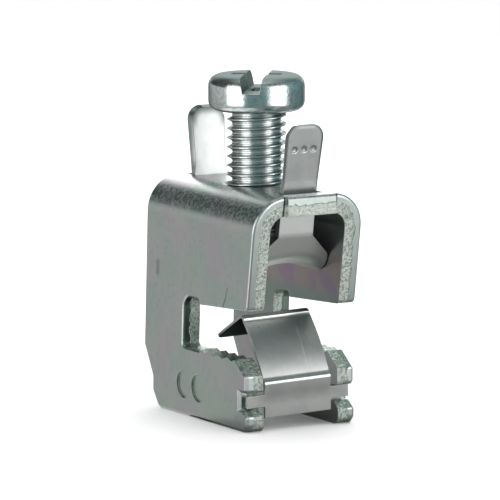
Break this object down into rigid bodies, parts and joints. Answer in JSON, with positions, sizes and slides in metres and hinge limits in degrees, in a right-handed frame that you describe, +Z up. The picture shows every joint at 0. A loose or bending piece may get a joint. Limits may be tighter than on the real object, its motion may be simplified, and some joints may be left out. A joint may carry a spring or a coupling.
{
  "type": "busbar cable terminal",
  "caption": "Folded sheet steel clamp terminal that grips the edge of a flat busbar, with a screw-driven saddle that presses the cable and a sprung sheet clip.",
  "frame": {"origin": "middle of the foot on which the two jaws stand, below the middle of the frame", "axes": "+X across the two walls, -Y towards the open front of the bar mouth, +Z up along the screw"},
  "size_m": [0.0168, 0.031, 0.0465],
  "materials": {
    "zinc_plate": "zinc plated, passivated, sheared edges rough",
    "screw_steel": "zinc plated, bright",
    "saddle_steel": "zinc plated, satin",
    "spring_steel": "rolled spring steel, semi-bright"
  },
  "bodies": {
    "frame": {"frame": "zinc_plate"},
    "saddle": {"pressure_saddle": "saddle_steel"},
    "screw": {"clamp_screw": "screw_steel"},
    "clip": {"retaining_clip": "spring_steel"}
  },
  "joints": [
    {"name": "clamp_travel", "type": "slide", "parent": "frame", "child": "saddle", "axis": [0, 0, 1], "range_m": [-0.005, 0.0025]},
    {"name": "screw_turn", "type": "hinge", "parent": "saddle", "child": "screw", "pos_m": [0, -0.00085, 0.0317], "axis": [0, 0, 1], "range_deg": [-1440, 720]},
    {"name": "clip_flex", "type": "hinge", "parent": "frame", "child": "clip", "pos_m": [0, -0.0117, 0.00422], "axis": [-1, 0, 0], "range_deg": [0, 36], "stiffness_Nm_per_rad": 0.05}
  ],
  "couplings": [
    {"joint": "screw_turn", "follows": "clamp_travel", "rad_per_m": 5026.5}
  ]
}
